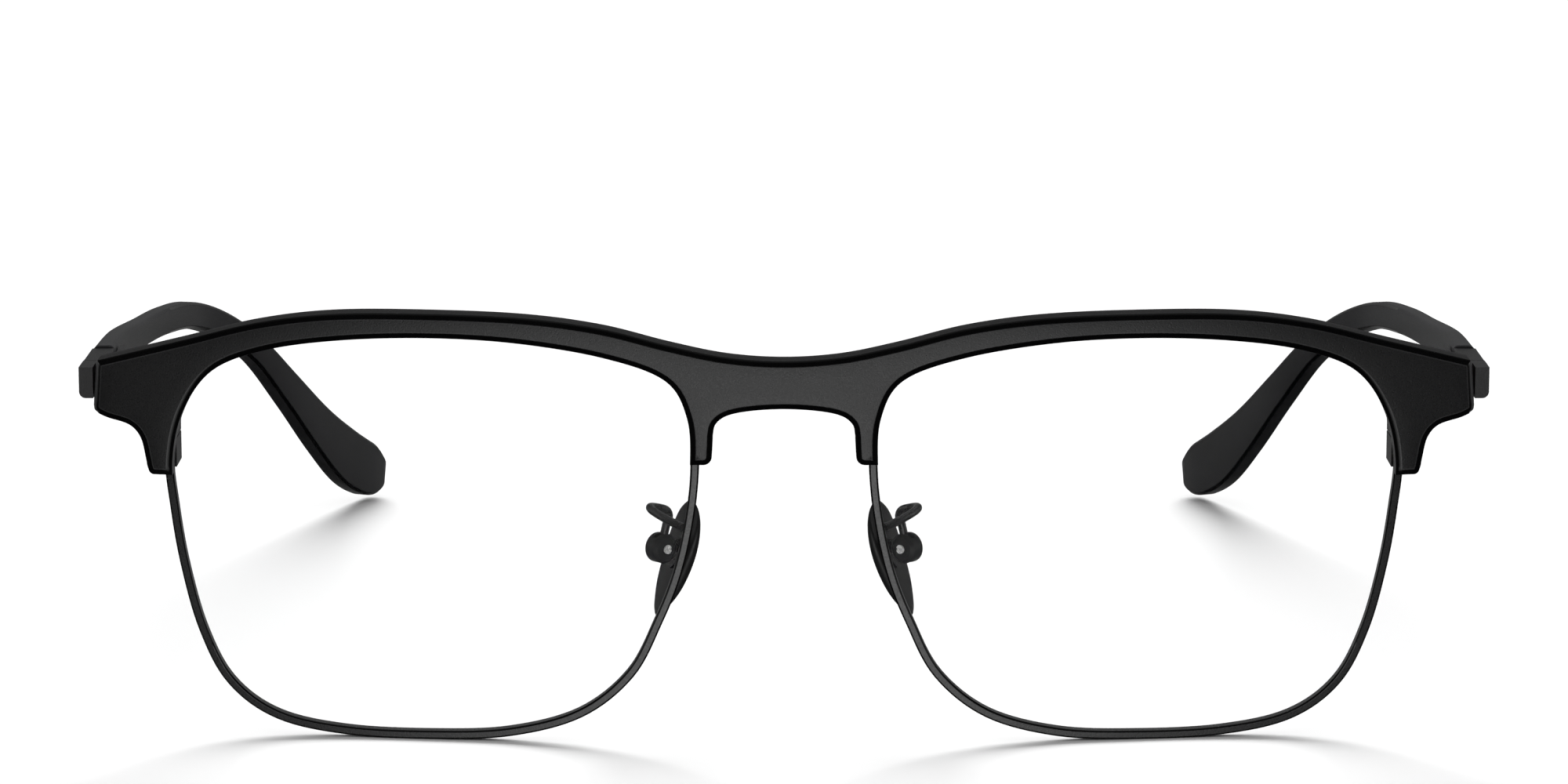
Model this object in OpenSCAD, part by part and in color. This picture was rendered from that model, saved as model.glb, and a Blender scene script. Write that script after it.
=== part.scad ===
// Browline eyeglasses: a moulded brow bar over two metal eyewires, with folding temples.
// +X is the wearer's left, +Y runs back along the temples, +Z is up. Millimetres.

/* [Front] */
// Width of the brow bar from end to end
brow_w = 145.2; // [142:0.2:147]
// Depth of the brow bar, front face to rear face
brow_t = 3.3; // [3.0:0.1:4.0]
// Radius of the front's wrap around the face
wrap_r = 350; // [300:10:500]
// Width of one lens
eye_w = 54.5; // [52:0.5:55]
// Height of one lens
eye_h = 42.4; // [40:0.2:43]
// Distance between the two lenses
bridge_w = 19.5; // [19:0.5:21]

/* [Eyewire] */
// Width of the eyewire seen from the front
rim_w = 0.9; // [0.8:0.1:1.2]
// Depth of the eyewire, front to rear
rim_t = 1.5; // [1.4:0.1:2.0]
// Depth of the groove that holds the lens edge
groove_d = 0.45; // [0.3:0.05:0.6]

/* [Hinge] */
// Diameter of the hinge screw's shank
pin_d = 1.2; // [1.0:0.1:1.4]
// Outside diameter of the hinge barrels
barrel_d = 2.8; // [2.6:0.1:3.2]
// Height of the whole hinge
hinge_h = 3.6; // [3.2:0.1:4.0]
// Radial clearance between the screw and the barrel that turns on it
pin_gap = 0.03; // [0.02:0.01:0.06]

/* [Temple] */
// Thickness of the temple arm
arm_t = 2.3; // [2.0:0.1:2.6]
// Height of the temple arm ahead of the bend
arm_h = 3.1; // [2.8:0.1:3.6]
// Height of the paddle at the end of the ear piece
paddle_h = 7.2; // [5.0:0.2:8.0]
// Diameter of the core wire inside the temple
core_d = 1.2; // [0.8:0.1:1.3]

/* [Nose pads] */
// Length of a nose pad
pad_l = 13.0; // [11:0.5:14]
// Width of a nose pad
pad_w = 6.2; // [5.8:0.2:7.0]
// Thickness of a nose pad
pad_t = 1.3; // [1.3:0.1:2.0]
// Diameter of the pad arm's wire
wire_d = 0.9; // [0.7:0.05:1.0]

/* [Hidden] */
$fn = 48;

// The origin is midway along the depth, so everything is drawn from the bridge's front face
// and then moved forward by this much.
mid_y = 67.4;

plastic = "#1d1e20";
metal = "#2c2d2f";
steel = "silver";
clear = [0.8, 0.85, 0.9, 0.3];

// ---- curves -------------------------------------------------------------------------------
// Catmull-Rom through a, b, c, d at t between b and c
function cr(a, b, c, d, t) = 0.5 * (2 * b + (c - a) * t
    + (2 * a - 5 * b + 4 * c - d) * t * t + (3 * b - a - 3 * c + d) * t * t * t);
function pick(p, i, closed) = closed ? p[(i + len(p)) % len(p)]
    : i < 0 ? 2 * p[0] - p[1] : i >= len(p) ? 2 * p[len(p) - 1] - p[len(p) - 2] : p[i];
function curve(p, steps, closed = false) = concat(
    [for (i = [0 : len(p) - (closed ? 1 : 2)], s = [0 : steps - 1])
        cr(pick(p, i - 1, closed), pick(p, i, closed), pick(p, i + 1, closed),
           pick(p, i + 2, closed), s / steps)],
    closed ? [] : [p[len(p) - 1]]);
function unit(v) = v / norm(v);
function back(p) = [for (i = [len(p) - 1 : -1 : 0]) p[i]];
function flip(p) = [for (q = back(p)) [-q.x, q.y]];
// One half of a curve that is mirrored about x = 0, from the middle outwards
function half_curve(p, steps) = let (c = curve(concat([[-p[1].x, p[1].y]], p), steps))
    [for (i = [steps : len(c) - 1]) c[i]];
function arc(c, r, a0, a1, n) = [for (i = [0 : n]) c + r * [cos(a0 + (a1 - a0) * i / n),
    sin(a0 + (a1 - a0) * i / n)]];

// ---- front --------------------------------------------------------------------------------
eye_x = (bridge_w + eye_w) / 2;
eye_z = rim_w + eye_h / 2;

// Lens shape about its own centre, nose side at negative x, for a 54 by 42 lens
eye_points = [[27.0, 7.5], [26.6, 2.5], [25.6, -3.8], [23.8, -10.6], [21.0, -16.0],
    [16.2, -19.4], [9.0, -20.8], [0, -21.0], [-8.0, -20.5], [-15.2, -18.4], [-20.3, -14.2],
    [-23.2, -8.6], [-25.2, -3.4], [-26.5, 2.5], [-27.0, 8.0], [-26.7, 13.0], [-24.4, 16.9],
    [-18.0, 19.2], [-9.0, 20.6], [0, 21.0], [9.0, 20.6], [16.9, 19.4], [22.6, 17.1],
    [25.8, 12.7]];
eye_curve = [for (p = curve(eye_points, 4, true)) [p.x * eye_w / 54, p.y * eye_h / 42]];

// The lens shape grown by g all round
function eye(g) = [for (i = [0 : len(eye_curve) - 1])
    let (p = eye_curve[i],
         t = unit(pick(eye_curve, i + 1, true) - pick(eye_curve, i - 1, true)))
    [eye_x, eye_z] + p + [-t.y, t.x] * g];

// Everything in the front lies between two spheres about one centre behind the face
module shell(r_out, r_in) {
    intersection() {
        translate([0, 30, 0]) rotate([90, 0, 0]) linear_extrude(40) children();
        difference() {
            translate([0, wrap_r, eye_z]) sphere(r_out, $fn = 200);
            translate([0, wrap_r, eye_z]) sphere(r_in, $fn = 200);
        }
    }
}

rim_front = wrap_r - (brow_t - rim_t);
rim_rear = wrap_r - brow_t;

// y of the brow bar's rear face at x, z
function rear_y(x, z) = wrap_r - sqrt(rim_rear * rim_rear - x * x - (z - eye_z) * (z - eye_z));

// Plan view of a block behind the front, from x0 to x1 and back to y1, clear up to height z
function back_plan(x0, x1, y1, z) = concat(
    [for (i = [0 : 3]) let (x = x0 + (x1 - x0) * i / 3) [x, rear_y(x, z) + 0.05]],
    [[x1, y1], [x0, y1]]);

end_x = brow_w / 2;
brow_top = [[0, 41.2], [6, 41.6], [12, 42.8], [19, 44.5], [27, 45.5], [37, 45.8], [47, 45.6],
    [55, 44.5], [63, 42.4], [end_x - 0.9, 40.1]];
brow_end = concat(arc([end_x - 0.9, 39.5], 0.6, 60, 0, 4),
    [[end_x, 35.2]], curve([[end_x - 0.2, 34.6], [end_x - 1.4, 34.0], [68.8, 33.3],
    [67.6, 32.0], [67.1, 30.0], [66.9, 28.8]], 4), arc([66.2, 28.7], 0.6, -20, -90, 4));
post_bottom = 30.3;
brow_nose = concat([[9.5, post_bottom]], arc([8.4, post_bottom + 0.9], 0.9, -90, -180, 5),
    back(half_curve([[0, 36.2], [3.5, 36.0], [5.9, 35.5], [7.1, 34.6], [7.4, 33.4]], 4)));
brow_side = concat(half_curve(brow_top, 4), brow_end, brow_nose);

module brow_outline() {
    difference() {
        polygon(concat(brow_side, flip(brow_side)));
        for (s = [0, 1]) mirror([s, 0]) polygon(eye(-0.04));
    }
}

module brow_bar() {
    color(plastic) difference() {
        shell(wrap_r, rim_rear) brow_outline();
        // rebate for the eyewires
        shell(rim_front + 0.03, rim_rear - 2)
            for (s = [0, 1]) mirror([s, 0]) polygon(eye(rim_w + 0.03));
        for (s = [0, 1], p = screw_points) mirror([s, 0, 0])
            translate([p.x, rear_y(p.x, p.y) + 1, p.y]) rotate([90, 0, 0])
                cylinder(h = 1 + screw_depth, d = screw_d);
    }
}

// Screws from behind: one through the nose tab and one through the end piece
screw_d = 1.1;
screw_depth = 2.0;
screw_points = [[8.4, 34.2], [66.9, 37.4]];

module rim() {
    difference() {
        shell(rim_front, rim_rear) difference() {
            polygon(eye(rim_w));
            polygon(eye(0));
        }
        shell((rim_front + rim_rear) / 2 + 0.35, (rim_front + rim_rear) / 2 - 0.35)
            polygon(eye(groove_d));
        // the slit that the rim lock draws together
        translate([60, -5, lock_z - 0.05]) cube([10, 30, 0.1]);
    }
}

module lens() {
    shell(rim_front, rim_rear) polygon(eye(-0.03));
    shell((rim_front + rim_rear) / 2 + 0.3, (rim_front + rim_rear) / 2 - 0.3)
        polygon(eye(groove_d - 0.05));
}

// ---- rim lock -----------------------------------------------------------------------------
lock_z = 31.4;
lock_h = 3.0;
lock_x0 = 64.1;
lock_x1 = 66.5;
lock_y1 = 14.3;
lock_at = [65.2, 12.9];
lock_screw_d = 1.2;

module lock_block(z0, h) {
    translate([0, 0, z0]) linear_extrude(h) polygon(back_plan(lock_x0, lock_x1, lock_y1, z0 + h));
}

module lock_lower() {
    difference() {
        lock_block(lock_z - 0.05 - lock_h, lock_h);
        translate([lock_at.x, lock_at.y, lock_z - 5]) cylinder(h = 6, d = lock_screw_d + 0.1);
        translate([lock_at.x, lock_at.y, lock_z - 5]) cylinder(h = 2.5, d = 2.0);
    }
}

module lock_upper() {
    difference() {
        lock_block(lock_z + 0.05, lock_h);
        translate([lock_at.x, lock_at.y, lock_z - 1]) cylinder(h = 3.5, d = lock_screw_d);
    }
}

module lock_screw() {
    translate([lock_at.x, lock_at.y, lock_z - 2.9]) {
        difference() {
            cylinder(h = 0.4, d = 1.9);
            translate([-1, -0.15, -0.1]) cube([2, 0.3, 0.3]);
        }
        cylinder(h = 5.3, d = lock_screw_d);
    }
}

// ---- nose tab and brow screws -------------------------------------------------------------
tab_y1 = rear_y(9.7, 35.6) + 0.72;

module nose_tab() {
    difference() {
        translate([0, 0, 31.6]) linear_extrude(4) polygon(back_plan(7.5, 9.7, tab_y1, 35.6));
        translate([screw_points[0].x, tab_y1 - 2, screw_points[0].y]) rotate([-90, 0, 0])
            cylinder(h = 3, d = screw_d);
    }
}

module brow_screw(p, y_head) {
    translate([p.x, y_head, p.y]) rotate([90, 0, 0]) {
        cylinder(h = y_head - rear_y(p.x, p.y) + screw_depth - 0.1, d = screw_d);
        difference() {
            translate([0, 0, -0.4]) cylinder(h = 0.4, d = 1.8);
            translate([-1, -0.13, -0.5]) cube([2, 0.26, 0.3]);
        }
    }
}

module brow_screws() {
    color(steel) for (s = [0, 1]) mirror([s, 0, 0]) {
        brow_screw(screw_points[0], tab_y1);
        brow_screw(screw_points[1], lug_y1);
    }
}

// ---- end piece and hinge ------------------------------------------------------------------
hinge_z = 35.6;
hinge_top = hinge_z + hinge_h;
pivot = [69.6, 15.3];
lug_y1 = 13.2;
lug_x1 = 74.2;
knuckle_h = (hinge_h - 0.1) / 3;
lug_z0 = 35.8;
lug_z1 = 39.1;
lug_r = 0.7;

module end_piece() {
    difference() {
        union() {
            // bar behind the brow bar, down to the rim lock
            translate([0, 0, lug_z0]) linear_extrude(lug_z1 - lug_z0)
                polygon(back_plan(lock_x0, lug_x1, lug_y1, lug_z1));
            translate([0, 0, lock_z + lock_h + 0.06]) linear_extrude(2)
                polygon(back_plan(lock_x0, lock_x1, lug_y1, lug_z1));
            // the outer cheek, wrapped forward round the brow bar's end
            translate([end_x + 0.12, 9.0, lug_z0]) cube([lug_x1 - end_x - 0.12, 3, lug_z1 - lug_z0]);
            for (z = [hinge_z, hinge_top - knuckle_h]) {
                translate([pivot.x, pivot.y, z]) cylinder(h = knuckle_h, d = barrel_d);
                translate([pivot.x - barrel_d / 2, lug_y1 - 0.5, z])
                    cube([barrel_d, pivot.y - lug_y1 + 0.5, knuckle_h]);
            }
        }
        // rounded lower outer corner
        translate([0, lug_y1 + 1, 0]) rotate([90, 0, 0]) linear_extrude(8) polygon(concat(
            arc([lug_x1 - lug_r, lug_z0 + lug_r], lug_r, -90, 0, 6),
            [[lug_x1 + 1, lug_z0 + lug_r], [lug_x1 + 1, lug_z0 - 1], [lug_x1 - lug_r, lug_z0 - 1]]));
        translate([pivot.x, pivot.y, hinge_z - 1]) cylinder(h = hinge_h + 2, d = pin_d);
        translate([pivot.x, pivot.y, hinge_top - 0.45]) cylinder(h = 1, d = 2.0);
        translate([screw_points[1].x, lug_y1 - 4, screw_points[1].y]) rotate([-90, 0, 0])
            cylinder(h = 5, d = screw_d);
    }
}

module hinge_screw() {
    translate([pivot.x, pivot.y, hinge_z]) cylinder(h = hinge_h - 0.1, d = pin_d);
    difference() {
        translate([pivot.x, pivot.y, hinge_top - 0.45]) cylinder(h = 0.4, d = 1.95);
        translate([pivot.x - 2, pivot.y - 0.15, hinge_top - 0.25]) cube([4, 0.3, 1]);
    }
}

block_y0 = 13.3;
block_y1 = 20.5;
arm_x = 73.0;
leaf_t = 0.5;
leaf_l = 6.5;
leaf_y = [block_y1 + 1.6, block_y1 + 4.6];
arm_in = arm_x - arm_t / 2;

module hinge_block() {
    z1 = hinge_z + knuckle_h + 0.05;
    difference() {
        union() {
            translate([arm_in, block_y0, lug_z0]) cube([arm_t, block_y1 - block_y0,
                lug_z1 - lug_z0]);
            translate([pivot.x, pivot.y, z1]) cylinder(h = knuckle_h, d = barrel_d);
            translate([pivot.x, pivot.y - 0.2, z1]) cube([arm_in - pivot.x + 0.5, 1.6, knuckle_h]);
            // leaf that lies on the arm's inner face
            translate([arm_in - leaf_t, block_y1 - 3, 36.4])
                cube([leaf_t + 0.01, 3, 2.0]);
            translate([arm_in - leaf_t, block_y1 - 0.1, 36.4])
                cube([leaf_t - 0.03, leaf_l + 0.1, 2.0]);
        }
        translate([pivot.x, pivot.y, hinge_z - 1])
            cylinder(h = hinge_h + 2, d = pin_d + 2 * pin_gap);
        for (y = leaf_y) translate([arm_in - 2, y, 37.4]) rotate([0, 90, 0])
            cylinder(h = 2.5, d = 0.8);
    }
}

module leaf_screws() {
    for (y = leaf_y) translate([arm_in - leaf_t, y, 37.4]) rotate([0, 90, 0]) {
        cylinder(h = leaf_t + 0.5, d = 0.8);
        difference() {
            translate([0, 0, -0.3]) cylinder(h = 0.3, d = 1.4);
            translate([-1, -0.1, -0.4]) cube([2, 0.2, 0.25]);
        }
    }
}

// ---- swept solids -------------------------------------------------------------------------
// Sweeps a section (points across, up) along stations, each [place, scale across, scale up]
function ring(place, t, sec, w, h) = let (n = unit(cross(t, [0, 0, 1])), u = cross(n, t))
    [for (q = sec) place + n * q.x * w + u * q.y * h];
function tangent(c, i) = unit(c[min(i + 1, len(c) - 1)] - c[max(i - 1, 0)]);

module sweep(places, widths, heights, sec) {
    n = len(sec);
    m = len(places);
    rings = [for (i = [0 : m - 1]) ring(places[i], tangent(places, i), sec, widths[i], heights[i])];
    polyhedron(points = [for (r = rings, p = r) p],
        faces = concat([[for (j = [n - 1 : -1 : 0]) j]],
            [for (i = [0 : m - 2], j = [0 : n - 1])
                [i * n + j, i * n + (j + 1) % n, (i + 1) * n + (j + 1) % n, (i + 1) * n + j]],
            [[for (j = [0 : n - 1]) (m - 1) * n + j]]), convexity = 8);
}

// A rectangle 1 by 1 with rounded corners, and a circle of diameter 1
function soft_rect(r) = [for (k = [0 : 3], a = [0, 45, 90])
    [(k == 0 || k == 3 ? 1 : -1) * (0.5 - r), (k < 2 ? 1 : -1) * (0.5 - r)]
        + r * [cos(90 * k + a), sin(90 * k + a)]];
function round_sec(n) = [for (k = [0 : n - 1]) 0.5 * [cos(360 * k / n), sin(360 * k / n)]];

// ---- temple -------------------------------------------------------------------------------
// Middle of the temple from the hinge block to the tip
temple_route = [[arm_x, block_y1 + 0.2, 37.5], [73.8, 40, 36.0], [73.8, 60, 34.0],
    [73.0, 76, 32.6], [71.2, 88, 31.2], [68.3, 96.5, 28.5], [65.0, 103.5, 24.2], [61.7, 110.8, 17.9],
    [58.6, 118.4, 11.5], [55.8, 125.2, 6.6], [53.3, 131, 3.7], [52.1, 134, 2.9]];
temple_heights = [3.6, 3.4, arm_h, arm_h, arm_h + 0.1, arm_h + 0.1, arm_h + 0.4, 4.5,
    paddle_h * 0.82, paddle_h, paddle_h * 0.9, 3.2];
temple_widths = [for (i = [0 : 11]) i < 11 ? arm_t : arm_t * 0.7];

module temple_arm() {
    difference() {
        sweep(curve(temple_route, 4), curve(temple_widths, 4), curve(temple_heights, 4),
            soft_rect(0.18));
        core_bore(core_d + 0.04);
        for (y = leaf_y) translate([arm_in - 2, y, 37.4]) rotate([0, 90, 0])
            cylinder(h = 2.6, d = 0.85, $fn = 16);
    }
}

module core_bore(d) {
    route = curve([for (i = [0 : 8]) temple_route[i]], 3);
    sweep(concat([route[0] - [0, 0.2, 0]], route), [for (i = [0 : len(route)]) d],
        [for (i = [0 : len(route)]) d], round_sec(8));
}

module temple_core() {
    route = curve([for (i = [0 : 8]) temple_route[i]], 3);
    keep = [for (i = [0 : len(route) - 2]) route[i]];
    sweep(keep, [for (i = keep) core_d], [for (i = keep) core_d], round_sec(8));
}

// ---- nose pads ----------------------------------------------------------------------------
// Middle of the pad's flat back, and how far its lower end leans out and its rear edge splays out
pad_at = [11.8, 14.1, 17.5];
pad_tilt = 18.5;
pad_splay = 24;
// Middle of the round housing that carries the pad, and the turn of its face towards the nose
box_at = [12.95, 10.85, 19.3];
box_turn = 40;
box_d = 3.2;
box_l = 1.7;
slot_w = 0.7;
pad_screw_d = 0.7;
wire_route = [[10.6, 3.83, 23.0], [12.2, 4.8, 23.6], [13.7, 6.2, 24.2], [14.1, 7.5, 24.4],
    [13.5, 8.9, 24.1], [12.5, 10.0, 23.6], [12.2, 10.4, 22.9], [12.4, 10.7, 22.2],
    [12.7, 10.8, box_at.z + box_d / 2]];

module pad_arm() {
    route = curve(wire_route, 4);
    sweep(route, [for (p = route) wire_d], [for (p = route) wire_d], round_sec(8));
}

// Local +Z comes out of the housing's face, local -X points at the pad
module at_box() {
    translate(box_at) rotate([0, 0, -box_turn]) rotate([90, 0, 0]) children();
}

module pad_box() {
    at_box() difference() {
        union() {
            translate([0, 0, -box_l / 2]) cylinder(h = box_l - 0.35, d = box_d);
            translate([0, 0, box_l / 2 - 0.35]) cylinder(h = 0.35, d1 = box_d, d2 = box_d - 0.7);
        }
        translate([-2, -2, -slot_w / 2]) cube([3.0, 4, slot_w]);
        translate([0, 0, -2]) cylinder(h = 4, d = pad_screw_d);
    }
}

module pad_screw() {
    at_box() {
        translate([0, 0, -box_l / 2]) cylinder(h = box_l + 0.01, d = pad_screw_d);
        translate([0, 0, box_l / 2 + 0.01]) difference() {
            cylinder(h = 0.25, d = 0.95);
            translate([-1, -0.1, 0.12]) cube([2, 0.2, 0.3]);
        }
    }
}

module at_pad() {
    translate(pad_at) rotate([0, -pad_tilt, 0]) rotate([0, 0, -pad_splay])
        rotate([0, -90, 0]) children();
}

// Local +Z is the pad's face, local +X is its top end
module nose_pad() {
    at_pad() intersection() {
        linear_extrude(pad_t) polygon(curve([[pad_l / 2, 0], [pad_l * 0.41, pad_w * 0.38],
            [pad_l * 0.16, pad_w / 2], [-pad_l * 0.22, pad_w * 0.4], [-pad_l * 0.43, pad_w * 0.2],
            [-pad_l / 2, 0], [-pad_l * 0.43, -pad_w * 0.2], [-pad_l * 0.22, -pad_w * 0.4],
            [pad_l * 0.16, -pad_w / 2], [pad_l * 0.41, -pad_w * 0.38]], 4, true));
        translate([0, 0, pad_t - 22]) sphere(22, $fn = 160);
    }
}

plate_t = 0.4;
module pad_mount() {
    difference() {
        union() {
            at_box() translate([0, 0, 0.05 - slot_w / 2]) {
                cylinder(h = slot_w - 0.1, d = 1.9);
                translate([-2.9, -0.7, 0]) cube([2.9, 1.4, slot_w - 0.1]);
            }
            at_pad() translate([0, 0, -plate_t]) linear_extrude(plate_t - 0.01) hull() {
                translate([1.9, -1.5]) circle(1.1);
                translate([0.2, 0]) circle(1.3);
            }
        }
        at_box() translate([0, 0, -2]) cylinder(h = 4, d = pad_screw_d + 2 * pin_gap);
        at_pad() translate([-5, -5, -0.005]) cube([10, 10, 5]);
    }
}

// ---- nodes --------------------------------------------------------------------------------
module placed() { translate([0, -mid_y, 0.03]) children(); }
module left() { placed() children(); }
module right() { placed() mirror([1, 0, 0]) children(); }

placed() brow_bar();
placed() brow_screws();
left() color(metal) rim();  // left_rim
right() color(metal) rim();  // right_rim
left() color(clear) lens();  // left_lens
right() color(clear) lens();  // right_lens
left() color(metal) lock_upper();  // left_lock_upper
right() color(metal) lock_upper();  // right_lock_upper
left() color(metal) lock_lower();  // left_lock_lower
right() color(metal) lock_lower();  // right_lock_lower
left() color(steel) lock_screw();  // left_lock_screw
right() color(steel) lock_screw();  // right_lock_screw
left() color(metal) nose_tab();  // left_nose_tab
right() color(metal) nose_tab();  // right_nose_tab
left() color(metal) end_piece();  // left_end_piece
right() color(metal) end_piece();  // right_end_piece
left() color(steel) hinge_screw();  // left_hinge_screw
right() color(steel) hinge_screw();  // right_hinge_screw
left() color(metal) pad_arm();  // left_pad_arm
right() color(metal) pad_arm();  // right_pad_arm
left() color(metal) pad_box();  // left_pad_box
right() color(metal) pad_box();  // right_pad_box
left() color(steel) pad_screw();  // left_pad_screw
right() color(steel) pad_screw();  // right_pad_screw
left() color(metal) pad_mount();  // left_pad_mount
right() color(metal) pad_mount();  // right_pad_mount
left() color(plastic) nose_pad();  // left_nose_pad
right() color(plastic) nose_pad();  // right_nose_pad
left() color(metal) hinge_block();  // left_hinge_block
right() color(metal) hinge_block();  // right_hinge_block
left() color(steel) leaf_screws();  // left_leaf_screws
right() color(steel) leaf_screws();  // right_leaf_screws
left() color(plastic) temple_arm();  // left_temple_arm
right() color(plastic) temple_arm();  // right_temple_arm
left() color(steel) temple_core();  // left_temple_core
right() color(steel) temple_core();  // right_temple_core
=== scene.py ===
import math

import bpy
import numpy as np
from mathutils import Matrix, Vector, geometry


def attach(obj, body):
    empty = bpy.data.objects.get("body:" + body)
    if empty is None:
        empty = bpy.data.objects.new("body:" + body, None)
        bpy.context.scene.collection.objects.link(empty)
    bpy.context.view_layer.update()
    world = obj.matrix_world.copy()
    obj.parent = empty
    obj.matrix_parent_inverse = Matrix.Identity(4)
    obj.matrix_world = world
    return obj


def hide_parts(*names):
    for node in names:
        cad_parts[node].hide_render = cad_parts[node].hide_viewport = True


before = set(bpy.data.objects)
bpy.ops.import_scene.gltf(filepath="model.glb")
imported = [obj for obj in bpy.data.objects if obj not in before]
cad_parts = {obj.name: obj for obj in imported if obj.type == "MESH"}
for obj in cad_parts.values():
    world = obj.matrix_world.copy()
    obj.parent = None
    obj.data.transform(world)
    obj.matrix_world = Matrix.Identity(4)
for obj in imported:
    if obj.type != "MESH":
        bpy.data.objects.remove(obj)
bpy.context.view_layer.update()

# ---- the frame's own numbers, in millimetres, measured from the bridge's front face ----------
MM = 0.001
MID_Y, LIFT = 67.4, 0.03
WRAP_R, BROW_T, RIM_T, RIM_W = 350.0, 3.3, 1.5, 0.9
EYE_W, EYE_H, BRIDGE_W, BROW_W = 54.5, 42.4, 19.5, 145.2
EYE_X, EYE_Z = (BRIDGE_W + EYE_W) / 2, RIM_W + EYE_H / 2
END_X = BROW_W / 2
ARM_T, ARM_H, PADDLE_H = 2.3, 3.1, 7.2
ARM_X, ARM_Y0 = 73.0, 20.7
PAD_L, PAD_W, PAD_T, PAD_DOME = 13.0, 6.2, 1.3, 22.0
PAD_AT, PAD_TILT, PAD_SPLAY = (11.8, 14.1, 17.5), 18.5, 24.0
WIRE_D = 0.9
SIDES = (("left", 1), ("right", -1))

EYE_POINTS = [(27.0, 7.5), (26.6, 2.5), (25.6, -3.8), (23.8, -10.6), (21.0, -16.0),
              (16.2, -19.4), (9.0, -20.8), (0, -21.0), (-8.0, -20.5), (-15.2, -18.4),
              (-20.3, -14.2), (-23.2, -8.6),
              (-25.2, -3.4), (-26.5, 2.5), (-27.0, 8.0), (-26.7, 13.0), (-24.4, 16.9), (-18.0, 19.2),
              (-9.0, 20.6), (0, 21.0), (9.0, 20.6), (16.9, 19.4), (22.6, 17.1), (25.8, 12.7)]
BROW_TOP = [(0, 41.2), (6, 41.6), (12, 42.8), (19, 44.5), (27, 45.5), (37, 45.8), (47, 45.6),
            (55, 44.5), (63, 42.4), (END_X - 0.9, 40.1)]
TEMPLE_ROUTE = [(ARM_X, ARM_Y0, 37.5), (73.8, 40, 36.0), (73.8, 60, 34.0), (73.0, 76, 32.6),
                (71.2, 88, 31.2), (68.3, 96.5, 28.5), (65.0, 103.5, 24.2), (61.7, 110.8, 17.9),
                (58.6, 118.4, 11.5), (55.8, 125.2, 6.6), (53.3, 131, 3.7), (52.1, 134, 2.9)]
TEMPLE_HEIGHTS = [3.6, 3.4, ARM_H, ARM_H, ARM_H + 0.1, ARM_H + 0.1, ARM_H + 0.4, 4.5,
                  PADDLE_H * 0.82, PADDLE_H, PADDLE_H * 0.9, 3.2]
WIRE_ROUTE = [(10.6, 3.83, 23.0), (12.2, 4.8, 23.6), (13.7, 6.2, 24.2), (14.1, 7.5, 24.4),
              (13.5, 8.9, 24.1), (12.5, 10.0, 23.6), (12.2, 10.4, 22.9), (12.4, 10.7, 22.2),
              (12.7, 10.8, 20.9)]


# ---- curves -----------------------------------------------------------------------------------
def curve(points, steps, closed=False):
    """Catmull-Rom through the points, as in the CAD source."""
    p = [np.array(q, float) for q in points]
    n = len(p)

    def pick(i):
        if closed:
            return p[i % n]
        if i < 0:
            return 2 * p[0] - p[1]
        return 2 * p[-1] - p[-2] if i >= n else p[i]

    made = []
    for i in range(n if closed else n - 1):
        a, b, c, d = pick(i - 1), pick(i), pick(i + 1), pick(i + 2)
        for k in range(steps):
            t = k / steps
            made.append(0.5 * (2 * b + (c - a) * t + (2 * a - 5 * b + 4 * c - d) * t * t
                               + (3 * b - a - 3 * c + d) * t ** 3))
    if not closed:
        made.append(p[-1])
    return np.array(made)


def half_curve(points, steps):
    """Half of a curve mirrored about x = 0, from the middle outwards."""
    return curve([(-points[1][0], points[1][1])] + points, steps)[steps:]


def arc(cx, cz, r, a0, a1, n):
    angles = np.radians(np.linspace(a0, a1, n + 1))
    return np.stack([cx + r * np.cos(angles), cz + r * np.sin(angles)], 1)


def normals(loop):
    """Outward mitre normals of a closed counterclockwise loop."""
    d = np.roll(loop, -1, 0) - loop
    d /= np.maximum(np.linalg.norm(d, axis=1, keepdims=True), 1e-9)
    n = np.stack([d[:, 1], -d[:, 0]], 1)
    before = np.roll(n, 1, 0)
    return (n + before) / (1 + (n * before).sum(1, keepdims=True)).clip(0.35)


def inset(loop, out, d):
    """The loop moved in by d; where a tight corner would curl over, its points meet in one."""
    p = loop - out * d
    n = len(p)

    def side_of(u, v, w):
        return (v[0] - u[0]) * (w[1] - u[1]) - (v[1] - u[1]) * (w[0] - u[0])

    for i in range(n):
        for gap in range(12, 1, -1):
            ids = [(i + k) % n for k in range(gap + 2)]
            a, b, c, e = p[ids[0]], p[ids[1]], p[ids[-2]], p[ids[-1]]
            if side_of(a, b, c) * side_of(a, b, e) < 0 and side_of(c, e, a) * side_of(c, e, b) < 0:
                t = side_of(c, e, a) / (side_of(c, e, a) - side_of(c, e, b))
                p[ids[1:-1]] = a + (b - a) * t
                break
    return p


EYE_LOOP = curve(EYE_POINTS, 8, True)[::-1] * [EYE_W / 54, EYE_H / 42] + [EYE_X, EYE_Z]
EYE_OUT = normals(EYE_LOOP)


def eye(grow):
    return EYE_LOOP + EYE_OUT * grow


def on_shell(xz, depth):
    """Points x, z put on the front's sphere, that far behind the front face."""
    x, z = xz[:, 0], xz[:, 1]
    y = WRAP_R - np.sqrt((WRAP_R - depth) ** 2 - x ** 2 - (z - EYE_Z) ** 2)
    return np.stack([x, y, z], 1)


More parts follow.
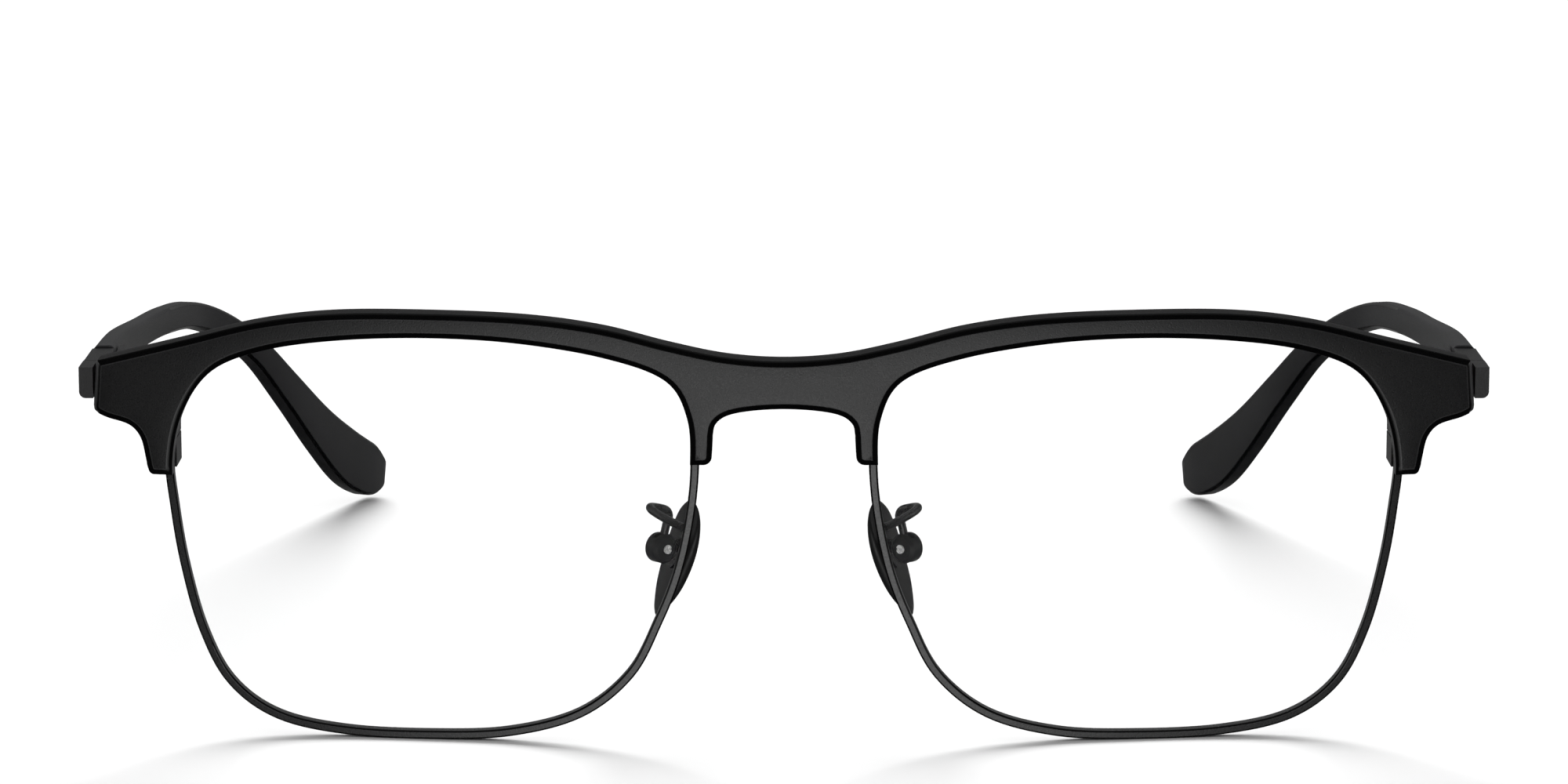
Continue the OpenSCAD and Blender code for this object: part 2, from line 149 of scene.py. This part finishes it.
# ---- meshes -----------------------------------------------------------------------------------
def piece(name, points, faces, materials, body, replaced, side=1, face_slots=None,
          smooth=50):
    """A finished mesh object on its body. Points are in millimetres from the bridge's front.
    Edges sharper than smooth, in degrees, stay crisp."""
    pts = np.array(points, float)
    pts = (pts * [side, 1, 1] + [0, -MID_Y, LIFT]) * MM
    if side < 0:
        faces = [tuple(reversed(f)) for f in faces]
    mesh = bpy.data.meshes.new(name)
    mesh.from_pydata(pts.tolist(), [], [tuple(int(i) for i in f) for f in faces])
    for m in materials:
        mesh.materials.append(m)
    if face_slots is not None:
        mesh.polygons.foreach_set("material_index", face_slots)
    mesh.polygons.foreach_set("use_smooth", [True] * len(mesh.polygons))
    mesh.validate()
    mesh.update()
    mesh.set_sharp_from_angle(angle=math.radians(smooth))
    obj = bpy.data.objects.new(name, mesh)
    bpy.context.scene.collection.objects.link(obj)
    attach(obj, body)
    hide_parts(replaced)
    return obj


def bands(rings, slots, closed_ends=False):
    """Quads between successive rings of equal length; slots has one material index per band."""
    n = len(rings[0])
    faces, marks = [], []
    count = len(rings) if closed_ends else len(rings) - 1
    for k in range(count):
        a, b = k * n, ((k + 1) % len(rings)) * n
        for i in range(n):
            j = (i + 1) % n
            faces.append((a + i, a + j, b + j, b + i))
            marks.append(slots[k] if isinstance(slots, (list, tuple)) else slots)
    return faces, marks


def fill(loop, pitch):
    """Triangles inside a closed 2-D loop, with an even scatter of inner points.
    Returns the inner points and triangles that number the loop's points first."""
    lo, hi = loop.min(0), loop.max(0)
    rows = []
    for r, z in enumerate(np.arange(lo[1], hi[1], pitch * 0.866)):
        xs = np.arange(lo[0] + (r % 2) * pitch / 2, hi[0], pitch)
        rows.append(np.stack([xs, np.full_like(xs, z)], 1))
    grid = np.concatenate(rows)
    a, b = loop, np.roll(loop, -1, 0)
    gx, gz = grid[:, :1], grid[:, 1:]
    crosses = (a[:, 1] > gz) != (b[:, 1] > gz)
    with np.errstate(divide="ignore", invalid="ignore"):
        at = (b[:, 0] - a[:, 0]) * (gz - a[:, 1]) / (b[:, 1] - a[:, 1]) + a[:, 0]
    inside = (crosses & (gx < at)).sum(1) % 2 == 1
    near = np.min((gx - a[:, 0]) ** 2 + (gz - a[:, 1]) ** 2, 1) < (pitch * 0.6) ** 2
    inner = grid[inside & ~near]
    n = len(loop)
    every = [Vector(p) for p in np.concatenate([loop, inner])]
    out = geometry.delaunay_2d_cdt(every, [], [list(range(n))], 1, 1e-7)
    if any(not ids for ids in out[3]):
        raise ValueError("the outline crosses itself")
    tris = [tuple(out[3][i][0] for i in f) for f in out[2]]
    return inner, [t for t in tris if len(set(t)) == 3]


def sweep_rings(route, sections):
    """Rings of 3-D points: each section, (across, up) pairs, set square to the route."""
    rings = []
    m = len(route)
    for i, sec in enumerate(sections):
        t = route[min(i + 1, m - 1)] - route[max(i - 1, 0)]
        t /= np.linalg.norm(t)
        n = np.cross(t, [0, 0, 1])
        n /= np.linalg.norm(n)
        u = np.cross(n, t)
        rings.append(route[i] + sec[:, :1] * n + sec[:, 1:] * u)
    return rings


def closed_mesh(rings):
    """Rings joined into a closed tube with fans over both ends."""
    n = len(rings[0])
    faces, _ = bands(rings, 0)
    points = list(np.concatenate(rings))
    for base, order in ((0, -1), ((len(rings) - 1) * n, 1)):
        points.append(np.mean(points[base:base + n], 0))
        c = len(points) - 1
        for i in range(n):
            j = (i + 1) % n
            tri = (base + i, base + j, c)
            faces.append(tri if order > 0 else tri[::-1])
    return points, faces


# ---- materials --------------------------------------------------------------------------------
def new_material(name, base, rough, metallic=0.0, specular=0.5):
    mat = bpy.data.materials.new(name)
    mat.use_nodes = True
    nodes = mat.node_tree.nodes
    shader = nodes["Principled BSDF"]
    shader.inputs["Base Color"].default_value = (*base, 1)
    shader.inputs["Roughness"].default_value = rough
    shader.inputs["Metallic"].default_value = metallic
    shader.inputs["Specular IOR Level"].default_value = specular
    return mat, nodes, mat.node_tree.links, shader


def noise(nodes, links, scale, detail=3.0, rough=0.5):
    where = nodes.new("ShaderNodeTexCoord")
    tex = nodes.new("ShaderNodeTexNoise")
    tex.inputs["Scale"].default_value = scale
    tex.inputs["Detail"].default_value = detail
    tex.inputs["Roughness"].default_value = rough
    links.new(where.outputs["Object"], tex.inputs["Vector"])
    return tex


RAMP_FROM, RAMP_TO = 0.35, 0.65     # the noise values that most of a surface lies between


def ramp(nodes, links, value, low, high):
    """The noise value spread between two colours or greys."""
    r = nodes.new("ShaderNodeValToRGB")
    r.color_ramp.elements[0].position = RAMP_FROM
    r.color_ramp.elements[1].position = RAMP_TO
    for e, c in zip(r.color_ramp.elements, (low, high)):
        e.color = (*c, 1) if isinstance(c, tuple) else (c, c, c, 1)
    links.new(value, r.inputs["Fac"])
    return r


GRAIN_DEEP = 0.00003                # depth of the moulded grain, in metres


def bump(nodes, links, shader, height, strength):
    b = nodes.new("ShaderNodeBump")
    b.inputs["Strength"].default_value = strength
    b.inputs["Distance"].default_value = GRAIN_DEEP
    links.new(height, b.inputs["Height"])
    links.new(b.outputs["Normal"], shader.inputs["Normal"])


def grained(name, low, high, rough_low, rough_high, grain, strength, **kw):
    """A moulded or painted surface: fine grain, with slow changes of tone and gloss over it."""
    mat, nodes, links, shader = new_material(name, low, rough_low, **kw)
    cloud = noise(nodes, links, 90.0, 4.0)
    links.new(ramp(nodes, links, cloud.outputs["Fac"], low, high).outputs["Color"],
              shader.inputs["Base Color"])
    speck = noise(nodes, links, grain, 2.0, 0.6)
    links.new(ramp(nodes, links, speck.outputs["Fac"], rough_low, rough_high).outputs["Color"],
              shader.inputs["Roughness"])
    bump(nodes, links, shader, speck.outputs["Fac"], strength)
    return mat


MATTE = grained("matte_black", (0.005, 0.005, 0.0053), (0.0072, 0.0072, 0.0075), 0.27, 0.34,
                7000.0, 0.5)
MATTE_SIDE = grained("matte_black_side", (0.004, 0.004, 0.0043), (0.0058, 0.0058, 0.0062), 0.42, 0.5,
                     7000.0, 0.5, specular=0.18)
# painted highlight: a lighter grey for the light that the brow's rounded face edge and outer ends
# reflect
PAINTED_EDGE_HIGHLIGHT = grained("painted_edge_highlight", (0.018, 0.018, 0.0185), (0.034, 0.034, 0.035), 0.34, 0.44, 5000.0, 0.4)
BLOCK_BLACK = grained("hinge_black", (0.006, 0.006, 0.0064), (0.0085, 0.0085, 0.009), 0.3, 0.38,
                      7000.0, 0.5, specular=0.28)
TEMPLE_BLACK = grained("temple_black", (0.0055, 0.0056, 0.0066), (0.0075, 0.0076, 0.009), 0.34, 0.42,
                       7000.0, 0.5)
EDGE = grained("polished_edge", (0.0008, 0.0008, 0.0009), (0.0014, 0.0014, 0.0015), 0.14, 0.2,
               3000.0, 0.06, specular=0.25)
PAINT = grained("satin_black_metal", (0.007, 0.007, 0.0073), (0.0105, 0.0105, 0.0108), 0.26, 0.34,
                5000.0, 0.25, specular=0.8)
SILICONE = grained("pad_silicone", (0.006, 0.006, 0.0064), (0.0085, 0.0085, 0.009), 0.36, 0.44,
                   2500.0, 0.15)
STEEL = grained("turned_steel", (0.55, 0.55, 0.55), (0.68, 0.68, 0.67), 0.3, 0.42, 2500.0, 0.3,
                metallic=0.5)

# turned steel with its colour raised near white, a painted highlight for the glint on the pad screw
# heads
GLINT_PAINTED_STEEL = grained("screw_painted_glint", (0.6, 0.6, 0.59), (0.95, 0.95, 0.94), 0.18, 0.3, 4000.0, 0.3,
                 metallic=0.5)



def clear_glass():
    """Clear lens with a thin coat and a faint, slow change of tint."""
    mat, nodes, links, shader = new_material("clear_lens", (1.0, 1.0, 1.0), 0.0)
    shader.inputs["Transmission Weight"].default_value = 1.0
    shader.inputs["IOR"].default_value = 1.001
    shader.inputs["Coat Weight"].default_value = 0.1
    shader.inputs["Coat Roughness"].default_value = 0.02
    shader.inputs["Coat IOR"].default_value = 1.4
    film = noise(nodes, links, 25.0, 2.0)
    tint = ramp(nodes, links, film.outputs["Fac"], (0.99, 0.995, 0.995), (1.0, 1.0, 1.0))
    links.new(tint.outputs["Color"], shader.inputs["Base Color"])
    return mat


def pale_floor():
    mat, nodes, links, shader = new_material("pale_floor", (0.9, 0.9, 0.9), 0.9, specular=0.0)
    dust = noise(nodes, links, 3.0)
    links.new(ramp(nodes, links, dust.outputs["Fac"], 0.90, 0.915).outputs["Color"],
              shader.inputs["Base Color"])
    return mat


GLASS = clear_glass()

# ---- brow bar ---------------------------------------------------------------------------------
POST_BOTTOM, END_BOTTOM = 30.3, 28.1
FACE_IN = 0.68      # how far in the flat of the face starts
REAR_ROUND = 0.15   # rounding of the rear edges
RIM_GAP = 0.07      # clearance around the eyewire
STEP_GAP = 0.03     # the ledge stands this far ahead of the eyewire
END_ZONE = 0.45     # the outer ends' own edge finish, a painted highlight, starts this far in from them


def crossing(a, b, z):
    t = (z - a[1]) / (b[1] - a[1])
    return a + (b - a) * t


def brow_half():
    """Clockwise outline of the wearer's left half, and which of its points lie on the eye cut."""
    outer = np.concatenate([
        half_curve(BROW_TOP, 12), arc(END_X - 0.9, 39.5, 0.6, 60, 0, 5)[:-1],
        np.linspace((END_X - 0.3, 39.5), (END_X, 35.2), 6)[:-1],
        curve([(END_X, 35.2), (END_X - 0.2, 34.6), (END_X - 1.4, 34.0), (68.8, 33.3), (67.6, 32.0),
               (67.1, 30.0), (66.9, 28.8)], 5)[:-1],
        arc(66.2, 28.7, 0.6, -20, -90, 5)])
    cut = eye(-0.04)
    start = int(np.argmin(cut[:, 1]))
    cut = np.roll(cut, -start, 0)
    # counterclockwise from the lowest point runs up the temple side, over, and down the nose side
    first = next(i for i in range(len(cut)) if cut[i, 1] > END_BOTTOM)
    last = next(i for i in range(first + 20, len(cut)) if cut[i, 1] < POST_BOTTOM)
    corner_t = crossing(cut[first - 1], cut[first], END_BOTTOM)
    corner_n = crossing(cut[last - 1], cut[last], POST_BOTTOM)
    cut = cut[first:last]
    cut = cut[(cut[:, 1] > END_BOTTOM + 0.4) | (cut[:, 0] < EYE_X)]
    cut = cut[(cut[:, 1] > POST_BOTTOM + 0.4) | (cut[:, 0] > EYE_X)]
    nose = np.concatenate([
        arc(8.4, POST_BOTTOM + 0.9, 0.9, -90, -180, 6)[:-1],
        [(7.5, POST_BOTTOM + 0.9), (7.44, 32.3)],
        half_curve([(0, 36.2), (3.5, 36.0), (5.9, 35.5), (7.1, 34.6), (7.4, 33.4)], 8)[::-1]])
    half = np.concatenate([outer, [corner_t], cut, [corner_n], nose])
    mark = np.zeros(len(half), bool)
    mark[len(outer):len(outer) + len(cut) + 2] = True
    return half, mark


def brow_loop():
    half, mark = brow_half()
    other, other_mark = half[::-1][1:-1] * [-1, 1], mark[::-1][1:-1]
    return np.concatenate([half, other])[::-1], np.concatenate([mark, other_mark])[::-1]


def build_brow():
    """The moulded bar as rings around its outline, from the face to the back, and both faces."""
    loop, on_cut = brow_loop()
    out = normals(loop)
    step_d = BROW_T - RIM_T - STEP_GAP
    # where the eyewire sits, the wall steps back from the lens edge
    shift = np.zeros_like(loop)
    push = RIM_W + RIM_GAP
    for i in np.flatnonzero(on_cut):
        before, after = on_cut[i - 1], on_cut[(i + 1) % len(loop)]
        if before and after:
            shift[i] = -out[i] * push
        else:
            away = 1.0 if (loop[i, 0] > 0) == (loop[i, 1] < 29) else -1.0
            shift[i] = [away * push, 0]
    stepped = loop + shift
    back = normals(stepped)
    rings, slots = [], []
    at_end = np.abs(loop[:, 0]) > END_X - END_ZONE
    # distance in, depth, material of the band after it, and how far the outer ends lean in
    # slot 3, the first band at the face's edge, is the painted highlight
    for into, depth, mark, lean in ((FACE_IN, 0.0, 3, 0), (0.62, 0.004, 0, 0), (0.56, 0.02, 1, 0),
                                     (0.22, 0.12, 1, 0.1), (0.03, 0.27, 0, 0.18),
                                     (0.006, 0.31, 0, 0.16), (0.0, 0.4, 0, 0.12), (0.0, 0.6, 0, 0),
                                     (0.0, step_d, 2, 0)):
        ring = inset(loop, out, into)
        ring[:, 0] -= np.sign(loop[:, 0]) * np.where(at_end, lean, 0)
        rings.append(on_shell(ring, depth))
        slots.append(mark)
    for into, depth in ((0.0, step_d), (0.0, BROW_T - REAR_ROUND), (0.02, BROW_T - 0.08),
                        (0.08, BROW_T - 0.02), (REAR_ROUND, BROW_T)):
        rings.append(on_shell(inset(stepped, back, into), depth))
        slots.append(0)
    faces, marks = bands(rings, slots[:-1])
    faces = [f[::-1] for f in faces]
    # the outer walls are duller than the face
    for k in range(4, len(rings) - 1):
        for i in np.flatnonzero(~on_cut & ~at_end):
            marks[k * len(loop) + i] = 2
    # the outer ends' walls take the painted highlight, a lighter grey for the light they reflect
    for k in range(3, 7):
        for i in np.flatnonzero(at_end):
            marks[k * len(loop) + i] = 3
    points = list(np.concatenate(rings))
    n = len(loop)
    for k, depth, turn in ((0, 0.0, -1), (len(rings) - 1, BROW_T, 1)):
        flat = rings[0][:, [0, 2]] if k == 0 else inset(stepped, back, REAR_ROUND)
        inner, tris = fill(flat, 1.5)
        base = len(points)
        points.extend(on_shell(inner, depth))
        for t in tris:
            f = tuple(k * n + i if i < n else base + i - n for i in t)
            faces.append(f[::-1] if turn > 0 else f)
            marks.append(0)
    piece("brow_shell", points, faces, [MATTE, EDGE, MATTE_SIDE, PAINTED_EDGE_HIGHLIGHT], "front",
          "brow_bar", face_slots=marks)


build_brow()


# ---- eyewires and lenses ----------------------------------------------------------------------
def build_rim(side_name, side):
    """An eyewire of square section with polished corners."""
    c = 0.14                        # size of the corners
    d0, d1 = BROW_T - RIM_T, BROW_T
    profile = [(c, d0, 0), (RIM_W - c, d0, 1), (RIM_W, d0 + c, 0), (RIM_W, d1 - c, 1),
               (RIM_W - c, d1, 0), (c, d1, 1), (0, d1 - c, 0), (0, d0 + c, 1)]
    rings, slots = [], []
    for k, (g, d, mark) in enumerate(profile):
        g2, d2, _ = profile[(k + 1) % len(profile)]
        for t in (0.0, 0.12, 0.88) if mark == 0 else (0.0,):
            rings.append(on_shell(eye(g + (g2 - g) * t), d + (d2 - d) * t))
            slots.append(mark)
    faces, marks = bands(rings, slots, True)
    piece(side_name + "_eyewire", np.concatenate(rings), faces, [PAINT, EDGE], "front",
          side_name + "_rim", side, marks)


def build_lens(side_name, side):
    """A clear shell that follows the front's wrap, with a rounded edge."""
    d0, d1 = BROW_T - RIM_T + 0.1, BROW_T - 0.1
    edge = eye(-0.03)
    centre = np.array([EYE_X, EYE_Z])
    rings = []
    for s in np.linspace(0.04, 0.97, 14):
        rings.append(on_shell(centre + (edge - centre) * s, d0))
    for into, d in ((0.12, d0), (0.03, d0 + 0.02), (0.0, d0 + 0.12), (0.0, d1 - 0.12),
                     (0.03, d1 - 0.02), (0.12, d1)):
        rings.append(on_shell(edge - EYE_OUT * into, d))
    for s in np.linspace(0.97, 0.04, 14):
        rings.append(on_shell(centre + (edge - centre) * s, d1))
    points, faces = closed_mesh(rings)
    lens = piece(side_name + "_lens_glass", points, faces, [GLASS], "front",
                 side_name + "_lens", side, smooth=40)
    lens.visible_shadow = lens.visible_glossy = lens.visible_diffuse = False


# ---- temples ----------------------------------------------------------------------------------
# Corner of the arm's section from its side face to its top face: distances in from both faces.
# Ahead of the bend it is round; behind it is a crisp chamfer.
ROUND = [(0.0, 0.62), (0.05, 0.38), (0.12, 0.25), (0.25, 0.12), (0.38, 0.05), (0.62, 0.0)]
CRISP = [(0.0, 0.46), (0.01, 0.38), (0.04, 0.33), (0.33, 0.04), (0.38, 0.01), (0.46, 0.0)]
BEND_FROM, BEND_TO = 62.0, 84.0     # y between which one corner turns into the other
TIP_R, TIP_MORE = 6.0, 0.3          # how far the tip's rounding reaches back, and past the route
TIP_FLAT = 1.2                      # the last stretch, where the arm's thickness rounds off too
SLIM, SLIM_FROM, SLIM_TO = 0.02, 100.0, 120.0     # the ear piece's height, eased down by this share


def between(value, start, end):
    """How far the value is from start to end, from 0 to 1."""
    return min(1, max(0, (value - start) / (end - start)))


def arm_section(w, h, crisp):
    """The arm's outline at one station, and the material index of the band after each point."""
    points, marks = [], []
    k = min(1.0, w / 2.0, h / 2.4)
    corner = [(a[0] + (b[0] - a[0]) * crisp, a[1] + (b[1] - a[1]) * crisp)
              for a, b in zip(ROUND, CRISP)]
    for su, sv in ((1, 1), (-1, 1), (-1, -1), (1, -1)):
        for i, (du, dv) in enumerate(corner if su == sv else corner[::-1]):
            points.append((su * (w / 2 - du * k), sv * (h / 2 - dv * k)))
            marks.append(1 if i == 2 and crisp > 0.6 else 0)
    return np.array(points), marks


def build_temple(side_name, side):
    """The moulded arm, from the hinge round the ear bend to its rounded tip."""
    route = curve(TEMPLE_ROUTE, 14)
    heights = curve([(h,) for h in TEMPLE_HEIGHTS], 14)[:, 0]
    start_dir = (route[1] - route[0]) / np.linalg.norm(route[1] - route[0])
    end_dir = (route[-1] - route[-3]) / np.linalg.norm(route[-1] - route[-3])
    route = np.concatenate([route, [route[-1] + end_dir * TIP_MORE]])
    along = np.concatenate([[0], np.cumsum(np.linalg.norm(np.diff(route, axis=0), axis=1))])
    length = along[-1]
    heights = np.append(heights, heights[-1])
    tip_h = np.interp(length - TIP_R, along, heights)
    places = along[(along > 0.3) & (along < length - TIP_R)]
    turn = np.radians(np.linspace(0, 88, 16))
    places = np.concatenate([places, length - TIP_R * (1 - np.sin(turn))])
    stations = [(route[0], ARM_T * 0.93, heights[0] * 0.95),
                (route[0] + start_dir * 0.12, ARM_T, heights[0])]
    for s in places:
        left = length - s
        place = np.array([np.interp(s, along, route[:, k]) for k in range(3)])
        h = np.interp(s, along, heights)
        if left < TIP_R:
            h = tip_h * math.sqrt(max(0.0, 1 - (1 - left / TIP_R) ** 2))
        h *= 1 - SLIM * between(place[1], SLIM_FROM, SLIM_TO)
        w = ARM_T * math.sqrt(max(0.0, 1 - max(0.0, 1 - left / TIP_FLAT) ** 2))
        stations.append((place, w, h))
    sections = [arm_section(w, h, between(p[1], BEND_FROM, BEND_TO)) for p, w, h in stations]
    rings = sweep_rings(np.array([s[0] for s in stations]), [s[0] for s in sections])
    points, faces = closed_mesh(rings)
    marks = [m for _, across in sections[:-1] for m in across] + [0] * (2 * len(rings[0]))
    piece(side_name + "_temple_moulding", points, faces, [TEMPLE_BLACK, EDGE],
          side_name + "_temple", side_name + "_temple_arm", side, marks)


# ---- nose pads and their wires ----------------------------------------------------------------
def turned(points, degrees, axis):
    r = np.array(Matrix.Rotation(math.radians(degrees), 3, axis))
    return points @ r.T


def build_pad(side_name, side):
    """A domed silicone pad, turned to the nose's splay and tilt."""
    half = [(PAD_L / 2, 0), (PAD_L * 0.41, PAD_W * 0.38), (PAD_L * 0.16, PAD_W / 2),
            (-PAD_L * 0.22, PAD_W * 0.4), (-PAD_L * 0.43, PAD_W * 0.2), (-PAD_L / 2, 0)]
    outline = curve(half + [(x, -y) for x, y in half[-2:0:-1]], 8, True)
    reach = np.linalg.norm(outline, axis=1)
    rim_top = PAD_T - PAD_DOME + np.sqrt(PAD_DOME ** 2 - reach ** 2)
    mid = rim_top * 0.5
    rings = []
    for face, scales in ((0, np.linspace(0.06, 1.0, 26)), (1, np.linspace(0.992, 0.06, 22))):
        for s in scales:
            round_off = math.sqrt(max(0.0, 1 - max(0.0, (s - 0.86) / 0.14) ** 2))
            crown = PAD_T - PAD_DOME + np.sqrt(PAD_DOME ** 2 - (reach * s) ** 2)
            z = mid + (crown - mid) * round_off if face else mid - mid * round_off
            rings.append(np.concatenate([outline * s, z[:, None]], 1))
    points, faces = closed_mesh(rings)
    points = turned(np.array(points), -90, "Y")
    points = turned(points, -PAD_SPLAY, "Z")
    points = turned(points, -PAD_TILT, "Y") + PAD_AT
    piece(side_name + "_pad_silicone", points, faces, [SILICONE], side_name + "_pad",
          side_name + "_nose_pad", side, smooth=60)


def build_wire(side_name, side):
    """The pad's round wire arm."""
    route = curve(WIRE_ROUTE, 10)
    a = np.linspace(0, 2 * math.pi, 17)[:-1]
    ring = np.stack([np.cos(a), np.sin(a)], 1) * WIRE_D / 2
    points, faces = closed_mesh(sweep_rings(route, [ring] * len(route)))
    piece(side_name + "_pad_wire", points, faces, [PAINT], "front",
          side_name + "_pad_arm", side, smooth=60)


for side_name, side in SIDES:
    build_rim(side_name, side)
    build_lens(side_name, side)
    build_temple(side_name, side)
    build_pad(side_name, side)
    build_wire(side_name, side)


# ---- CAD nodes that stay: softened edges and their finish -------------------------------------
WELD, FLAT_ANGLE, BEVEL_ANGLE = 1e-6, 2, 40       # metres, degrees, degrees


def soften(node, mat, width):
    """A CAD node's finish, with its edges rounded by that width in millimetres."""
    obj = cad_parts[node]
    obj.data.materials.clear()
    obj.data.materials.append(mat)
    weld = obj.modifiers.new("weld", "WELD")
    weld.merge_threshold = WELD
    flat = obj.modifiers.new("flat", "DECIMATE")
    flat.decimate_type = "DISSOLVE"
    flat.angle_limit = math.radians(FLAT_ANGLE)
    bevel = obj.modifiers.new("bevel", "BEVEL")
    bevel.width = width * MM
    bevel.segments = 2
    bevel.limit_method = "ANGLE"
    bevel.angle_limit = math.radians(BEVEL_ANGLE)
    obj.data.polygons.foreach_set("use_smooth", [True] * len(obj.data.polygons))
    smooth = obj.modifiers.new("normals", "WEIGHTED_NORMAL")
    smooth.keep_sharp = False


soften("brow_screws", STEEL, 0.05)
# the pad screws take the steel with the painted glint
for side_name, side in SIDES:
    for part, mat, width in (("lock_upper", BLOCK_BLACK, 0.12), ("lock_lower", BLOCK_BLACK, 0.12),
                             ("lock_screw", STEEL, 0.04), ("nose_tab", PAINT, 0.08),
                             ("end_piece", BLOCK_BLACK, 0.2), ("hinge_screw", STEEL, 0.04),
                             ("pad_box", BLOCK_BLACK, 0.12), ("pad_screw", GLINT_PAINTED_STEEL, 0.03),
                             ("pad_mount", PAINT, 0.05), ("hinge_block", BLOCK_BLACK, 0.2),
                             ("leaf_screws", STEEL, 0.03), ("temple_core", STEEL, 0.05)):
        soften(side_name + "_" + part, mat, width)


# ---- floor, light and camera ------------------------------------------------------------------
FLOOR_HALF = 6                      # half the floor's side, in metres
floor_mesh = bpy.data.meshes.new("floor")
floor_mesh.from_pydata([(x * FLOOR_HALF, y * FLOOR_HALF, 0)
                        for x, y in ((-1, -1), (1, -1), (1, 1), (-1, 1))], [], [(0, 1, 2, 3)])
floor_mesh.materials.append(pale_floor())
floor = bpy.data.objects.new("floor", floor_mesh)
bpy.context.scene.collection.objects.link(floor)
floor.visible_glossy = False


# one broad light from behind and above, like a window
SUN_HEIGHT, SUN_SPREAD = math.radians(35), math.radians(36)
sun_data = bpy.data.lights.new("window", "SUN")
sun_data.energy = 4.2
sun_data.angle = SUN_SPREAD
sun = bpy.data.objects.new("window", sun_data)
bpy.context.scene.collection.objects.link(sun)
sun_ray = Vector((0, -math.cos(SUN_HEIGHT), -math.sin(SUN_HEIGHT)))
sun.rotation_euler = sun_ray.to_track_quat("-Z", "Y").to_euler()
sun.visible_glossy = False

world = bpy.data.worlds.new("studio")
bpy.context.scene.world = world
world.use_nodes = True
nodes, links = world.node_tree.nodes, world.node_tree.links
# the camera sees a white backdrop, surfaces are lit by a weaker sky, and gloss reflects a dark
# room with soft panels in it
backdrop = nodes["Background"]
backdrop.inputs["Color"].default_value = (1, 1, 1, 1)
backdrop.inputs["Strength"].default_value = 1.0
sky = nodes.new("ShaderNodeBackground")
sky.inputs["Color"].default_value = (1, 1, 1, 1)
sky.inputs["Strength"].default_value = 0.43
room = nodes.new("ShaderNodeBackground")
room.inputs["Strength"].default_value = 1.0
where = nodes.new("ShaderNodeTexCoord")


def math_node(op, a, b, clamp=False):
    m = nodes.new("ShaderNodeMath")
    m.operation, m.use_clamp = op, clamp
    for i, v in enumerate((a, b)):
        if isinstance(v, (int, float)):
            m.inputs[i].default_value = v
        else:
            links.new(v, m.inputs[i])
    return m.outputs[0]


def panel(direction, inner, outer, level):
    """A soft round light panel in the room: full inside one angle, nothing outside the other."""
    dot = nodes.new("ShaderNodeVectorMath")
    dot.operation = "DOT_PRODUCT"
    links.new(where.outputs["Generated"], dot.inputs[0])
    dot.inputs[1].default_value = Vector(direction).normalized()
    r = nodes.new("ShaderNodeMapRange")
    r.interpolation_type = "SMOOTHSTEP"
    r.inputs["From Min"].default_value = math.cos(math.radians(outer))
    r.inputs["From Max"].default_value = math.cos(math.radians(inner))
    r.inputs["To Min"].default_value = 0.0
    r.inputs["To Max"].default_value = level
    links.new(dot.outputs["Value"], r.inputs["Value"])
    return r.outputs["Result"]


total = 0.02                        # the room's own faint light
for spot in (panel((0, -1, -0.19), 4, 22.5, 2.65), panel((0, 1, -0.15), 10, 50, 0.24),
             panel((0.68, 0.72, -0.15), 4, 18, 0.25), panel((-0.68, 0.72, -0.15), 4, 18, 0.25),
             panel((1, 0, 0.25), 6, 26, 1.1), panel((-1, 0, 0.25), 6, 26, 1.1),
             panel((0, 0.2, 1), 15, 45, 0.35)):
    total = math_node("ADD", spot, total)
links.new(total, room.inputs["Strength"])
path = nodes.new("ShaderNodeLightPath")
mix = nodes.new("ShaderNodeMixShader")
lit = nodes.new("ShaderNodeMixShader")
links.new(path.outputs["Is Diffuse Ray"], lit.inputs["Fac"])
links.new(backdrop.outputs["Background"], lit.inputs[1])
links.new(sky.outputs["Background"], lit.inputs[2])
not_glossy = math_node("SUBTRACT", 1.0, path.outputs["Is Glossy Ray"], True)
seen = math_node("MAXIMUM", not_glossy, path.outputs["Is Transmission Ray"])
links.new(seen, mix.inputs["Fac"])
links.new(room.outputs["Background"], mix.inputs[1])
links.new(lit.outputs["Shader"], mix.inputs[2])
links.new(mix.outputs["Shader"], nodes["World Output"].inputs["Surface"])

# the camera: focal length in pixels of an image this wide, distance and height in millimetres,
# and the angle it looks down at
IMAGE_W, FOCAL_PX, SENSOR_W = 2000.0, 7000.0, 36.0
CAM_D, CAM_H, CAM_PITCH = 558.95, 141.48, 10.4754
camera_data = bpy.data.cameras.new("camera")
camera = bpy.data.objects.new("camera", camera_data)
bpy.context.scene.collection.objects.link(camera)
camera.location = (0, -(CAM_D + MID_Y) * MM, (CAM_H + LIFT) * MM)
camera.rotation_euler = (math.radians(90 - CAM_PITCH), 0, 0)
camera_data.sensor_width = SENSOR_W
camera_data.lens = FOCAL_PX * SENSOR_W / IMAGE_W
camera_data.clip_start, camera_data.clip_end = 0.02, 20.0
bpy.context.scene.camera = camera
bpy.context.scene.view_settings.view_transform = "Standard"
bpy.context.scene.view_settings.look = "None"
